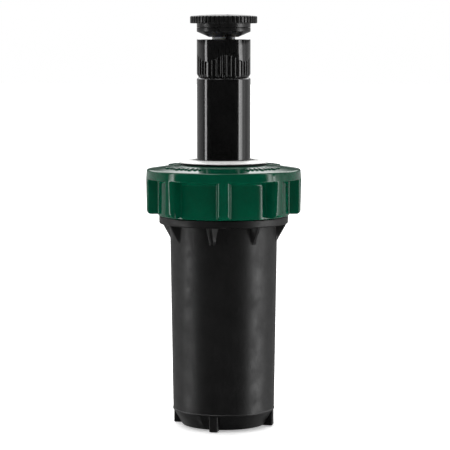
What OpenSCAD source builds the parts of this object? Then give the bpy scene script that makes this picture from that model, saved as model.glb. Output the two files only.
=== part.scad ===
// Pop-up spray sprinkler: a moulded case with a female pipe thread in its base, a ribbed
// screw cap, a wiper seal, a spring-retracted riser on a ratchet ring, and an adjustable-arc
// nozzle with a filter, a knurled knob and a radius screw. It stands on its four feet with
// the riser up. Z = 0 is the underside of the feet and the Z axis is the axis of the case.
// Angles named *_phase are measured from the front (-Y), positive towards the right (+X).

/* [Case] */
// Radius of the case wall where it meets the base cone
case_foot_r = 19.2; // [18.8:0.1:19.6]
// Radius of the case wall under its flange
case_top_r = 20.3; // [20.0:0.1:20.6]
// Thickness of the case wall
case_wall = 2.25; // [2.0:0.05:2.3]
// Radius of the flange that the cap comes down to
case_flange_r = 24.4; // [24.0:0.1:24.6]
// Height of the underside of that flange
case_flange_z = 76.8; // [76.0:0.1:77.2]
// Thickness of that flange
case_flange_t = 2.8; // [2.4:0.1:2.9]
// Height of the top of the threaded neck
case_neck_z = 93.4; // [93.0:0.1:93.4]
// Height of the floor inside the case
case_floor_z = 15; // [14.8:0.1:15.2]
// Outer radius of the base ring
base_ring_r = 15.8; // [15.6:0.1:16.0]
// Height of the cone between base ring and case wall
base_cone_h = 6.0; // [5.5:0.1:6.5]
// Number of feet
foot_count = 4; // [4]
// Width of a foot
foot_w = 3.2; // [2.8:0.1:3.6]
// Angle of the first foot and the first gusset
foot_phase = -11.8; // [-14:0.1:-8]
// Number of gussets under the flange
gusset_count = 8; // [8]
// Number of guide ribs inside the case
guide_count = 6; // [6]

/* [Inlet] */
// Radius at the crests of the half-inch pipe thread
inlet_crest_r = 9.2; // [9.15:0.05:9.25]
// Depth of the pipe thread
inlet_thread_h = 1.3; // [1.2:0.05:1.4]
// Pitch of the pipe thread
inlet_pitch = 1.814; // [1.814]
// Number of thread grooves
inlet_grooves = 7; // [5:1:7]

/* [Cap] */
// Radius over the cap's rim
cap_r = 29.3; // [29.0:0.1:29.6]
// Radius over the bottom of the grip ribs
cap_rib_foot_r = 29.07; // [28.8:0.01:29.2]
// Radius of the wall between the ribs
cap_wall_r = 24.65; // [24.5:0.05:24.8]
// Number of grip ribs
cap_ribs = 8; // [8]
// Width of a grip rib
cap_rib_w = 4.4; // [4.0:0.1:4.8]
// Height of the underside of the rim
cap_rim_z = 93.7; // [93.4:0.1:94.0]
// Height of the rim's top edge
cap_edge_z = 97.3; // [97.0:0.1:97.6]
// Height of the top at its central opening
cap_top_z = 99.1; // [98.9:0.1:99.2]
// Radius of the central opening
cap_open_r = 16.95; // [16.9:0.05:17.1]

/* [Cap thread] */
// Rise of the cap thread in one turn
cap_pitch = 3.0; // [2.8:0.1:3.2]
// Number of turns
cap_turns = 2.5; // [2.5]

/* [Riser] */
// Radius of the riser tube
riser_r = 10.1; // [10.0:0.05:10.15]
// Thickness of the riser wall
riser_wall = 1.8; // [1.6:0.1:1.9]
// Height of the joint between riser and nozzle
riser_top_z = 131.8; // [131.4:0.1:132.2]
// How far the riser pops up
riser_travel = 50.8; // [48:0.1:50.8]
// Radius of the flange at the riser's foot
riser_flange_r = 15.4; // [15.0:0.1:15.5]

/* [Spring] */
// Wire diameter of the retract spring
wire_d = 1.2; // [1.0:0.05:1.25]
// Number of turns
spring_turns = 12; // [10:1:12]
// Radius at the middle of the wire
spring_r = 12.9; // [12.7:0.1:13.2]

/* [Nozzle] */
// Height of the top face of the nozzle base
nozzle_top_z = 146.0; // [145.8:0.1:146.1]
// Number of grooves in the nozzle base's grip
nozzle_teeth = 36; // [32:4:40]
// Radius of the deflector's small end
cone_foot_r = 5.5; // [5.3:0.1:5.7]
// Height of the small end of the deflector
deflector_z = 146.9; // [146.8:0.1:147.0]
// Height of the wide end of the deflector's cone
drum_z = 148.9; // [148.7:0.1:149.1]
// Height of the seam between deflector and knob
knob_seam_z = 150.4; // [150.2:0.1:150.6]
// Height of the underside of the knurled disc
disc_z = 152.0; // [151.9:0.1:152.2]
// Thickness of the disc at its rim
disc_t = 2.7; // [2.5:0.1:2.9]
// How much the disc's top rises to its middle
disc_crown = 0.6; // [0.4:0.1:0.8]
// Radius over the knurled disc
disc_r = 12.6; // [12.4:0.1:12.8]
// Number of grooves round the disc
disc_teeth = 48; // [44:4:52]

/* [Hidden] */
$fn = 96;

black = "#1c1c1d";
rubber = "#2b2b2c";
green = "#00573d";
white = "#ececea";
steel = "#b9bbbd";

eps = 0.01;
gap = 0.1;            // gap between seated pieces
running = 0.05;       // radial clearance of a running fit

// case
ring_z = 0.3;
cone_top_z = ring_z + base_cone_h;
bore_foot_r = case_foot_r - case_wall + 0.05;
bore_top_r = 18.2;
flange_top_z = case_flange_z + case_flange_t;
foot_r = case_foot_r - 0.05;
guide_r = 16.2;
guide_w = 2.0;
guide_top_z = 75;
neck_r = 21.0;
boss_r = inlet_crest_r + inlet_thread_h + 2;
pocket_count = 8;
pocket_roof_z = case_floor_z - 2.4;
web_w = 1.6;

// cap thread, which meshes with the neck's thread with clearance on every side
thread_start_z = 83;
neck_crest_r = 22.3;
cap_bore_r = 22.75;
cap_crest_r = 21.45;
thread_root_w = 1.5;
thread_crest_w = 0.7;
thread_sink = 0.35;   // how far a thread's root is buried in its wall
thread_steps = 16;    // lugs in one turn of the thread
thread_fill = 0.86;   // share of the turn that the lugs fill

// gussets under the flange
gusset_foot_z = 70.2;
gusset_tip_w = 1.4;
gusset_wall_w = 4.2;
gusset_out_w = 1.6;

// cap
cap_foot_z = flange_top_z + 0.2;
cap_rib_foot_z = cap_foot_z + 0.6;
cap_roof_z = 96.4;
cap_corner_r = 1.2;
mark_r = 22.6;
mark_len = 3.0;
mark_w = 1.1;
mark_step = 5;
mark_count = 9;

// seal stack between neck and cap
seal_z = case_neck_z + 0.25;
seal_top_z = cap_roof_z - 0.2;
seal_flange_r = 20.7;
seal_neck_r = 15.7;
seal_neck_z = 99.65;
lip_r = riser_r + 0.04;
collar_r = 16.5;
collar_top_z = 100.9;
washer_z = 92.15;
washer_t = 1.3;
o_ring_r = 19.6;
o_ring_w = 0.65;

// riser, ratchet and spring, with the riser up
riser_foot_z = 66;
riser_flange_t = 3.3;
riser_bore_r = riser_r - riser_wall;
neck_bore_r = 7.3;
riser_neck_r = 8.5;
riser_crest_r = 8.85;
riser_neck_z = 138.0;
tooth_count = 24;
tooth_h = 0.7;
ratchet_z = riser_foot_z + riser_flange_t + 0.15;
ratchet_t = 3.6;
clip_z = ratchet_z + ratchet_t + 0.15;
clip_t = 1.0;
clip_groove_r = 9.6;
spring_foot_z = ratchet_z + ratchet_t + 0.1;

// nozzle
nozzle_r = riser_r;
nozzle_z = riser_top_z + 0.05;
socket_r = 9.0;
web_z = 139.0;
web_t = 2.2;
bowl_r = 7.6;
port_r = 1.25;
port_pitch_r = 5.0;
screw_r = 1.55;
post_r = 0.7;
post_pitch_r = 3.6;
core_channel_r = 6.1;
hub_r = 3.05;
hub_z = 142;
spigot_r = 6.0;
spigot_top_z = 152.5;
screw_head_r = 2.85;
screw_head_z = spigot_top_z + gap;
screw_head_t = 2.0;
screw_foot_z = 133.4;
ramp_start = 10.5;    // angle of the step that starts the arc
tab_span = 26;        // how far round the tab that closes the arc runs
tab_drop = 1.6;       // how far the tab hangs below the cone
ramp_drop = 0.5;      // how far the ramp hangs just after the tab
ramp_span = 347;      // how far round tab and ramp run
ramp_levels = 6;
slit_w = 0.68;        // width of the slit in the cone
ramp_root = 0.3;      // how far tab and ramp reach into the cone
core_boss_r = 4.35;   // boss of the arc core, which runs in a seat in the deflector
boss_seat_r = core_boss_r + 0.07;
core_boss_z = 147.7;
plug_z = 133.6;
plug_t = 2.4;
plug_r = 5.9;

// ---- shared shapes ----

// copies its children round the axis; the first copy points at the phase angle
module around(count, phase = 0) {
    for (i = [0 : count - 1]) {
        rotate([0, 0, phase - 90 + i * 360 / count]) children();
    }
}

// a solid of revolution between two heights
module tube(r_out, r_in, z_low, z_high) {
    difference() {
        translate([0, 0, z_low]) cylinder(r = r_out, h = z_high - z_low);
        translate([0, 0, z_low - 1]) cylinder(r = r_in, h = z_high - z_low + 2);
    }
}

function flat(lists) = [for (list = lists) for (item = list) item];

// a closed skin over a list of rings, each with the same number of points
module loft(rings) {
    k = len(rings[0]);
    n = len(rings);
    sides = [
        for (i = [0 : n - 2]) for (j = [0 : k - 1])
            for (half = [0, 1])
                half == 0
                    ? [i * k + j, (i + 1) * k + j, (i + 1) * k + (j + 1) % k]
                    : [i * k + j, (i + 1) * k + (j + 1) % k, i * k + (j + 1) % k]
    ];
    first = [for (j = [0 : k - 1]) j];
    last = [for (j = [0 : k - 1]) n * k - 1 - j];
    polyhedron(points = flat(rings), faces = concat(sides, [first, last]), convexity = 10);
}

// a point at radius r, angle a and height z
function at(r, a, z) = [r * cos(a), r * sin(a), z];

// a right-handed interrupted thread in short level lugs; root and crest are the radii of its
// wide and narrow edges
module helical_thread(root, crest, z, phase) {
    step = 360 / thread_steps;
    for (i = [0 : round(cap_turns * thread_steps) - 1]) {
        h = z + cap_pitch * i / thread_steps;
        rotate([0, 0, phase + i * step]) {
            rotate_extrude(angle = step * thread_fill) {
                polygon([
                    [root, h - thread_root_w / 2],
                    [crest, h - thread_crest_w / 2],
                    [crest, h + thread_crest_w / 2],
                    [root, h + thread_root_w / 2]
                ]);
            }
        }
    }
}

// ---- case ----

module case_outline() {
    polygon([
        [inlet_crest_r - 1, ring_z],
        [base_ring_r, ring_z],
        [case_foot_r, cone_top_z],
        [case_top_r, case_flange_z],
        [case_flange_r - 0.7, case_flange_z],
        [case_flange_r, case_flange_z + 0.7],
        [case_flange_r, flange_top_z - 0.3],
        [case_flange_r - 0.3, flange_top_z],
        [neck_r, flange_top_z],
        [neck_r, case_neck_z - 0.5],
        [neck_r - 0.5, case_neck_z],
        [inlet_crest_r - 1, case_neck_z]
    ]);
}

module foot() {
    translate([base_ring_r - 1.5, -foot_w / 2, 0]) {
        cube([foot_r - base_ring_r + 1.5, foot_w, cone_top_z + 0.4]);
    }
}

// a bracket that is wide where it meets wall and flange, and thin at its ends
module gusset() {
    inner = case_top_r - 1;
    top = case_flange_z + 0.5;
    loft([
        [
            [inner, -gusset_tip_w / 2, gusset_foot_z],
            [inner, gusset_tip_w / 2, gusset_foot_z],
            [inner, gusset_wall_w / 2, top],
            [inner, -gusset_wall_w / 2, top]
        ],
        [
            [case_top_r - 0.1, -gusset_tip_w / 2, gusset_foot_z],
            [case_top_r - 0.1, gusset_tip_w / 2, gusset_foot_z],
            [case_flange_r - 0.75, gusset_out_w / 2, top],
            [case_flange_r - 0.75, -gusset_out_w / 2, top]
        ]
    ]);
}

module guide_rib() {
    translate([guide_r, -guide_w / 2, case_floor_z - eps]) {
        cube([bore_top_r - guide_r + 0.4, guide_w, guide_top_z - case_floor_z]);
    }
}

module base_pockets() {
    difference() {
        rotate_extrude() {
            polygon([
                [boss_r, ring_z - 1],
                [base_ring_r - 1.6, ring_z - 1],
                [base_ring_r - 1.6, ring_z],
                [case_foot_r - case_wall, cone_top_z],
                [case_foot_r - case_wall, pocket_roof_z],
                [boss_r, pocket_roof_z]
            ]);
        }
        around(pocket_count, foot_phase) {
            translate([0, -web_w / 2, -1]) cube([case_foot_r, web_w, case_floor_z]);
        }
    }
}

module inlet_bore() {
    translate([0, 0, -1]) cylinder(r = inlet_crest_r, h = case_floor_z + 2);
    // lead-in at the mouth
    translate([0, 0, ring_z - eps]) {
        cylinder(r1 = inlet_crest_r + inlet_thread_h, r2 = inlet_crest_r, h = inlet_thread_h);
    }
    // thread grooves
    rotate_extrude() {
        for (i = [0 : inlet_grooves - 1]) {
            z = ring_z + inlet_thread_h + inlet_pitch * (i + 0.5);
            half = inlet_pitch * 0.4;
            polygon([
                [inlet_crest_r - 0.5, z - half],
                [inlet_crest_r, z - half],
                [inlet_crest_r + inlet_thread_h, z],
                [inlet_crest_r, z + half],
                [inlet_crest_r - 0.5, z + half]
            ]);
        }
    }
}

module case() {
    color(black)
    difference() {
        union() {
            difference() {
                union() {
                    rotate_extrude() case_outline();
                    around(foot_count, foot_phase) foot();
                    around(gusset_count, foot_phase) gusset();
                }
                translate([0, 0, case_floor_z]) {
                    cylinder(r1 = bore_foot_r, r2 = bore_top_r, h = case_neck_z - case_floor_z + eps);
                }
            }
            intersection() {
                around(guide_count, foot_phase) guide_rib();
                cylinder(r = bore_foot_r + 1.2, h = case_neck_z);
            }
            helical_thread(neck_r - thread_sink, neck_crest_r, thread_start_z, 0);
        }
        base_pockets();
        inlet_bore();
        // seat of the body O-ring
        tube(o_ring_r + o_ring_w + 0.05, o_ring_r - o_ring_w - 0.05, case_neck_z - 1.1,
             case_neck_z + 1);
    }
}

module body_o_ring() {
    color(rubber)
    rotate_extrude() {
        translate([o_ring_r, case_neck_z - 1.1 + o_ring_w + 0.02]) circle(r = o_ring_w, $fn = 24);
    }
}

// ---- cap ----

module cap_outline() {
    c = cap_corner_r;
    difference() {
        polygon([
            [cap_bore_r, cap_foot_z],
            [cap_wall_r - 0.3, cap_foot_z],
            [cap_wall_r, cap_foot_z + 0.3],
            [cap_wall_r, cap_rim_z],
            [cap_r, cap_rim_z],
            [cap_r, cap_edge_z],
            [cap_open_r, cap_top_z],
            [cap_open_r, cap_roof_z],
            [cap_bore_r, cap_roof_z]
        ]);
        // round the rim's top edge
        translate([cap_r - c, cap_edge_z - c]) {
            difference() {
                square([c + 1, c + 2]);
                circle(r = c, $fn = 64);
            }
        }
    }
}

// the space that the ribs fill, with a round lower corner
module rib_envelope() {
    c = 1.5;
    rotate_extrude() {
        difference() {
            polygon([
                [cap_wall_r - 1, cap_rib_foot_z],
                [cap_rib_foot_r, cap_rib_foot_z],
                [cap_r, cap_rim_z + 0.2],
                [cap_wall_r - 1, cap_rim_z + 0.2]
            ]);
            translate([cap_rib_foot_r - c + 0.02, cap_rib_foot_z + c]) {
                difference() {
                    translate([0, -c - 1]) square([c + 1, c + 1]);
                    circle(r = c, $fn = 64);
                }
            }
        }
    }
}

// one rib seen from above, with round outer corners and a fillet at each side of its foot
module rib_plan() {
    c = 0.9;
    f = 1.1;
    half = cap_rib_w / 2;
    foot = cap_wall_r - 0.35;
    square_r = cap_r - c;
    translate([foot - 1, -half]) square([square_r - foot + 1, cap_rib_w]);
    translate([foot, -half + c]) square([cap_r - foot + 0.2, cap_rib_w - 2 * c]);
    for (side = [-1, 1]) {
        translate([square_r, side * (half - c)]) circle(r = c, $fn = 48);
        difference() {
            translate([foot - 1, side > 0 ? half - 0.1 : -half - f]) square([f + 1.35, f + 0.1]);
            translate([foot + f + 0.35, side * (half + f)]) circle(r = f, $fn = 48);
        }
    }
}

module cap_mark() {
    translate([mark_r - mark_len / 2, -mark_w / 2, cap_roof_z + 1]) {
        cube([mark_len, mark_w, cap_top_z - cap_roof_z]);
    }
}

module cap_marks() {
    span = (mark_count - 1) * mark_step;
    intersection() {
        for (side = [-1, 1]) {
            for (i = [0 : mark_count - 1]) {
                a = side * 42 - span / 2 + i * mark_step;
                for (face = [0, 180]) rotate([0, 0, a - 90 + face]) cap_mark();
            }
        }
        // the marks stand 0.3 mm proud of the sloping top
        rotate_extrude() {
            polygon([
                [cap_open_r, cap_roof_z],
                [cap_r, cap_roof_z],
                [cap_r, cap_edge_z + 0.3],
                [cap_open_r, cap_top_z + 0.3]
            ]);
        }
    }
}

module cap() {
    color(green)
    union() {
        rotate_extrude() cap_outline();
        intersection() {
            around(cap_ribs) {
                translate([0, 0, cap_foot_z]) {
                    linear_extrude(cap_rim_z - cap_foot_z + 1) rib_plan();
                }
            }
            rib_envelope();
        }
        cap_marks();
        // half a pitch away from the neck's thread
        helical_thread(cap_bore_r + thread_sink, cap_crest_r, thread_start_z, 180);
    }
}

// ---- seal stack ----

module wiper_seal() {
    lip = lip_r;
    relief = riser_r + 0.7;
    color(rubber)
    rotate_extrude() {
        polygon([
            [lip, seal_z + 0.4],
            [relief, seal_z],
            [seal_flange_r, seal_z],
            [seal_flange_r, seal_top_z],
            [seal_neck_r, seal_top_z],
            [seal_neck_r, seal_neck_z],
            [13.1, seal_neck_z],
            [13.1, seal_top_z],
            [11.7, seal_top_z],
            [11.7, seal_neck_z - 0.2],
            [11.1, 100.25],
            [lip, 100.25],
            [lip, 99.3],
            [relief, 98.4],
            [relief, seal_z + 2],
            [lip, seal_z + 1.2]
        ]);
    }
}

module seal_collar() {
    foot = seal_neck_z + gap;
    color(white)
    rotate_extrude() {
        difference() {
            union() {
                polygon([
                    [11.8, seal_top_z + 0.1],
                    [13.0, seal_top_z + 0.1],
                    [13.0, foot],
                    [collar_r, foot],
                    [collar_r, foot + 0.25],
                    [12.7, collar_top_z],
                    [11.8, collar_top_z - 0.4]
                ]);
                // the crown bulges between its outer edge and its top
                intersection() {
                    translate([11.8, foot]) square([collar_r - 11.8, collar_top_z - foot]);
                    translate([12.6, foot - 7.2]) circle(r = 8.35, $fn = 128);
                }
            }
            translate([11.4, collar_top_z - 0.35]) circle(r = 0.7, $fn = 32);
        }
    }
}

module spring_washer() {
    color(white)
    difference() {
        tube(17.3, riser_r + 0.7, washer_z, washer_z + washer_t);
        // groove that centres the spring
        tube(spring_r + 0.75, spring_r - 0.75, washer_z - 1, washer_z + 0.35);
    }
}

module retract_spring() {
    sides = 6;
    steps = spring_turns * 18;
    low = spring_foot_z + wire_d / 2;
    high = washer_z + 0.3 - wire_d / 2;
    color(steel)
    loft([
        for (i = [0 : steps])
            let (a = 360 * spring_turns * i / steps, z = low + (high - low) * i / steps)
            [
                for (j = [0 : sides - 1])
                    let (b = 360 * j / sides)
                    at(spring_r + wire_d / 2 * cos(b), a, z + wire_d / 2 * sin(b))
            ]
    ]);
}

// ---- ratchet ----

// saw teeth that stand up from the riser's flange; scale them to make the mating spaces
module ratchet_teeth(z, h, extra) {
    pitch = 360 / tooth_count;
    around(tooth_count) {
        translate([12.2, 0, z]) {
            rotate([90, 0, 90]) {
                linear_extrude(riser_flange_r - 12.2 - 0.1 + extra) {
                    polygon([
                        [-0.8 - extra, -0.5],
                        [0.8 + extra, -0.5],
                        [0.45 + extra, h + extra],
                        [-0.45 - extra, h + extra]
                    ]);
                }
            }
        }
    }
}

module ratchet_ring() {
    outer = guide_r + 0.4;
    color(white)
    difference() {
        tube(outer, riser_r + 0.35, ratchet_z, ratchet_z + ratchet_t);
        // spaces that the riser's teeth stand in
        ratchet_teeth(ratchet_z - 0.15, tooth_h, 0.15);
        // notches that run on the guide ribs
        around(guide_count, foot_phase) {
            translate([guide_r - 0.3, -guide_w / 2 - 0.3, ratchet_z - 1]) {
                cube([3, guide_w + 0.6, ratchet_t + 2]);
            }
        }
    }
}

// a split snap ring that holds the ratchet ring down on the riser's flange
module ratchet_clip() {
    color(steel)
    difference() {
        tube(11.5, clip_groove_r + 0.1, clip_z, clip_z + clip_t);
        rotate([0, 0, 90]) translate([0, -2, clip_z - 1]) cube([15, 4, clip_t + 2]);
    }
}

// ---- riser ----

module riser_outline() {
    polygon([
        [riser_bore_r, riser_foot_z],
        [riser_flange_r - 0.4, riser_foot_z],
        [riser_flange_r, riser_foot_z + 0.4],
        [riser_flange_r, riser_foot_z + riser_flange_t - 0.3],
        [riser_flange_r - 0.3, riser_foot_z + riser_flange_t],
        [riser_r, riser_foot_z + riser_flange_t],
        [riser_r, clip_z - 0.1],
        [clip_groove_r, clip_z - 0.1],
        [clip_groove_r, clip_z + clip_t + 0.1],
        [riser_r, clip_z + clip_t + 0.1],
        [riser_r, riser_top_z - 0.6],
        [riser_r - 0.65, riser_top_z - 0.05],
        [riser_neck_r, riser_top_z - 0.05],
        [riser_neck_r, riser_neck_z],
        [neck_bore_r, riser_neck_z],
        [neck_bore_r, riser_top_z - 3],
        [riser_bore_r, riser_top_z - 4]
    ]);
}

// rings of thread on a neck or in a socket
module thread_rings(root, crest, z) {
    rotate_extrude() {
        for (i = [0 : 2]) {
            h = z + i * 1.6;
            polygon([[root, h - 0.45], [crest, h - 0.2], [crest, h + 0.2], [root, h + 0.45]]);
        }
    }
}

module riser() {
    color(black)
    union() {
        rotate_extrude() riser_outline();
        thread_rings(riser_neck_r - 0.2, riser_crest_r, riser_top_z + 1.6);
        ratchet_teeth(riser_foot_z + riser_flange_t, tooth_h, 0);
    }
}

// ---- filter ----

module filter_basket() {
    top_z = riser_neck_z + 0.1;
    foot_z = 104;
    rows = 13;
    row_h = (top_z - 4 - foot_z) / rows;
    color(green)
    union() {
        tube(8.4, 6.3, top_z, top_z + 0.7);
        tube(6.9, 6.3, riser_top_z - 4, top_z + 0.1);
        translate([0, 0, foot_z]) cylinder(r = 6.2, h = 1.2);
        for (i = [1 : rows - 3]) {
            tube(6.6, 5.9, foot_z + i * row_h, foot_z + i * row_h + row_h * 0.4);
        }
        around(8) {
            translate([5.5, -0.5, foot_z + 0.5]) cube([1.0, 1, riser_top_z - 3.5 - foot_z]);
        }
    }
}

// ---- nozzle ----

// height at which the grip's grooves end: four lobes round the base
function grip_top(a) = 139.1 + 1.3 * cos(4 * (a - 6));

module nozzle_outline() {
    web_top = web_z + web_t;
    polygon([
        [socket_r, nozzle_z],
        [nozzle_r - 0.7, nozzle_z],
        [nozzle_r, nozzle_z + 1.25],
        [nozzle_r, nozzle_top_z - 0.2],
        [nozzle_r - 0.2, nozzle_top_z],
        [bowl_r, nozzle_top_z],
        [bowl_r, web_top],
        [screw_r + 0.08, web_top],
        [screw_r + 0.08, web_z],
        [socket_r, web_z]
    ]);
}

module grip_groove(radius, depth, width, z_low, z_high) {
    translate([radius - depth, 0, z_low]) {
        linear_extrude(z_high - z_low) {
            polygon([
                [0, -width * 0.22],
                [0, width * 0.22],
                [depth + 0.3, width * 0.62],
                [depth + 0.3, -width * 0.62]
            ]);
        }
    }
}

module nozzle_base() {
    color(black)
    difference() {
        union() {
            rotate_extrude() nozzle_outline();
            thread_rings(socket_r + 0.2, riser_neck_r + 0.2, riser_top_z + 2.4);
            // posts that keep the throttle plug from turning
            for (side = [-1, 1]) {
                translate([side * post_pitch_r, 0, plug_z + 0.4]) {
                    cylinder(r = post_r, h = web_z - plug_z - 0.3, $fn = 24);
                }
            }
        }
        for (i = [0 : nozzle_teeth - 1]) {
            a = i * 360 / nozzle_teeth;
            rotate([0, 0, a - 90]) grip_groove(nozzle_r, 0.5, 0.95, nozzle_z - 1, grip_top(a));
        }
        around(6, 30) {
            translate([port_pitch_r, 0, web_z - 1]) cylinder(r = port_r, h = web_t + 2, $fn = 32);
        }
    }
}

module nozzle_core() {
    foot = web_z + web_t + 0.05;
    color(white)
    difference() {
        union() {
            translate([0, 0, foot]) cylinder(r = bowl_r - 0.05, h = nozzle_top_z - 1.2 - foot);
            translate([0, 0, foot]) cylinder(r = core_boss_r, h = core_boss_z - foot);
        }
        translate([0, 0, foot - 1]) cylinder(r = hub_r + running, h = 10);
        // channels that lead the water up to the deflector
        around(12, 15) {
            translate([core_channel_r, 0, foot - 1]) cylinder(r = 0.8, h = 10, $fn = 24);
        }
        // relief over the ports of the web
        tube(core_channel_r + 0.8, port_pitch_r - 1.3, foot - 1, foot + 1.2);
    }
}

module throttle_plug() {
    color(white)
    difference() {
        rotate_extrude() {
            polygon([
                [screw_r + 0.07, plug_z],
                [plug_r - 1.2, plug_z],
                [plug_r, plug_z + 0.8],
                [plug_r, plug_z + plug_t - 0.5],
                [plug_r - 0.5, plug_z + plug_t],
                [screw_r + 0.07, plug_z + plug_t]
            ]);
        }
        for (side = [-1, 1]) {
            translate([side * post_pitch_r, 0, plug_z - 1]) {
                cylinder(r = post_r + 0.08, h = plug_t + 2, $fn = 24);
            }
        }
    }
}

module radius_screw() {
    color(steel)
    difference() {
        union() {
            translate([0, 0, screw_foot_z]) {
                cylinder(r = screw_r, h = screw_head_z + 0.2 - screw_foot_z, $fn = 48);
            }
            translate([0, 0, screw_head_z]) {
                cylinder(r = screw_head_r, h = screw_head_t - 0.3, $fn = 48);
            }
            translate([0, 0, screw_head_z + screw_head_t - 0.3]) {
                cylinder(r1 = screw_head_r, r2 = screw_head_r - 0.3, h = 0.3, $fn = 48);
            }
        }
        // screwdriver slot
        translate([-5, -0.4, screw_head_z + screw_head_t - 0.9]) cube([10, 0.8, 2]);
        // thread grooves where the throttle plug runs
        rotate_extrude($fn = 48) {
            for (i = [0 : 9]) {
                z = screw_foot_z + 0.6 + i * 0.7;
                polygon([
                    [screw_r - 0.25, z],
                    [screw_r + 0.5, z - 0.35],
                    [screw_r + 0.5, z + 0.35]
                ]);
            }
        }
    }
}

// ---- deflector and knob ----

// a ring sector that is cut away from below the deflector's small end
module clear_sector(from, span, top) {
    rotate([0, 0, from - 90]) {
        rotate_extrude(angle = span) {
            translate([boss_seat_r - 0.5, deflector_z - tab_drop - 1]) {
                square([cone_foot_r - boss_seat_r + 1, top - deflector_z + tab_drop + 1]);
            }
        }
    }
}

// the tab that closes the arc, and the ramp that opens it in shallow steps from there
module deflector_ramp() {
    step = (ramp_span - tab_span) / ramp_levels;
    ramp_from = ramp_start + tab_span;
    difference() {
        tube(cone_foot_r - 0.05, boss_seat_r + 0.12, deflector_z - tab_drop, deflector_z + ramp_root);
        for (i = [1 : ramp_levels]) {
            low = deflector_z - ramp_drop * (ramp_levels + 1 - i) / ramp_levels;
            clear_sector(ramp_from + (i - 1) * step, step + 1, low);
        }
        clear_sector(ramp_start + ramp_span, 360 - ramp_span, deflector_z + ramp_root + 1);
    }
}

module deflector() {
    color(black)
    difference() {
        union() {
            rotate_extrude() {
                polygon([
                    [screw_r + 0.07, hub_z],
                    [hub_r, hub_z],
                    [hub_r, core_boss_z + 0.15],
                    [boss_seat_r, core_boss_z + 0.15],
                    [boss_seat_r, deflector_z],
                    [cone_foot_r, deflector_z],
                    [nozzle_r, drum_z],
                    [nozzle_r, knob_seam_z - 0.06],
                    [spigot_r, knob_seam_z - 0.06],
                    [spigot_r, spigot_top_z],
                    [screw_r + 0.07, spigot_top_z]
                ]);
            }
            deflector_ramp();
            around(4) {
                translate([spigot_r - 1, -1, knob_seam_z - 0.5]) {
                    cube([2, 2, spigot_top_z - knob_seam_z + 0.5]);
                }
            }
        }
        // the slit that runs up the cone beside the tab
        rotate([0, 0, ramp_start - 9.5 - 90]) {
            translate([boss_seat_r - 0.4, 0, deflector_z - 1]) cube([4, slit_w, 1.8]);
        }
    }
}

module adjuster_knob() {
    dome_r = (disc_r * disc_r + disc_crown * disc_crown) / (2 * disc_crown);
    disc_top_z = disc_z + disc_t + disc_crown;
    color(black)
    difference() {
        union() {
            intersection() {
                rotate_extrude() {
                    polygon([
                        [0, disc_z],
                        [disc_r - 0.3, disc_z],
                        [disc_r, disc_z + 0.3],
                        [disc_r, disc_z + disc_t - 0.35],
                        [disc_r - 0.5, disc_z + disc_t + 0.1],
                        [disc_r - 0.5, disc_top_z + 1],
                        [0, disc_top_z + 1]
                    ]);
                }
                translate([0, 0, disc_top_z - dome_r]) sphere(r = dome_r, $fn = 240);
            }
            translate([0, 0, knob_seam_z + 0.06]) {
                cylinder(r = nozzle_r, h = disc_z - knob_seam_z);
            }
        }
        // socket for the deflector's spigot and its keys
        translate([0, 0, knob_seam_z - 1]) {
            cylinder(r = spigot_r + 0.06, h = spigot_top_z - knob_seam_z + 1.06);
        }
        around(4) {
            translate([spigot_r - 1, -1.06, knob_seam_z - 1]) {
                cube([2.1, 2.12, spigot_top_z - knob_seam_z + 1.06]);
            }
        }
        // well of the screw head
        translate([0, 0, spigot_top_z - 1]) cylinder(r = screw_head_r + 0.25, h = 6);
        // grip grooves
        for (i = [0 : disc_teeth - 1]) {
            rotate([0, 0, i * 360 / disc_teeth]) {
                grip_groove(disc_r, 0.45, 0.85, disc_z - 1, disc_top_z + 1);
            }
        }
        // sunk line that marks the edge of the watered arc
        rotate([0, 0, ramp_start - 90]) {
            translate([5.2, -0.4, disc_top_z - 0.5]) cube([5.2, 0.8, 2]);
        }
    }
}

case();
body_o_ring();
cap();
wiper_seal();
seal_collar();
spring_washer();
retract_spring();
ratchet_ring();
ratchet_clip();
riser();
filter_basket();
nozzle_base();
nozzle_core();
throttle_plug();
radius_screw();
deflector();
adjuster_knob();
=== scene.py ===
"""Pop-up spray sprinkler: detailed pieces, materials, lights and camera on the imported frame."""

import math

import bmesh
import bpy
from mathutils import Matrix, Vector


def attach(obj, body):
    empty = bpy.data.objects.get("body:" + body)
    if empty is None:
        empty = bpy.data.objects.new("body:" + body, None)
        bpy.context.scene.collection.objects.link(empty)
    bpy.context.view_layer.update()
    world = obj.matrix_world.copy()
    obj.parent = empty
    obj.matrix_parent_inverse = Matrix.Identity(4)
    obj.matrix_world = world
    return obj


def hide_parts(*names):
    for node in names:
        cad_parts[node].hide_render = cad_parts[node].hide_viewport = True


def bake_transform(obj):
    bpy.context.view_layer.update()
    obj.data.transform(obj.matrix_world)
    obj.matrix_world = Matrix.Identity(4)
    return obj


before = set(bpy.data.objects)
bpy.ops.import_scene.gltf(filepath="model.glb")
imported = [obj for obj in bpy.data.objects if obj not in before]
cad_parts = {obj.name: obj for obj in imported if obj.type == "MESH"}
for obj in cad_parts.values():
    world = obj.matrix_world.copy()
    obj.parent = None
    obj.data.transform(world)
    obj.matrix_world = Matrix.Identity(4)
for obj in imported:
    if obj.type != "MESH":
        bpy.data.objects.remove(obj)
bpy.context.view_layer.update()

MM = 0.001
SEG = 256
SHARP = 32

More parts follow.
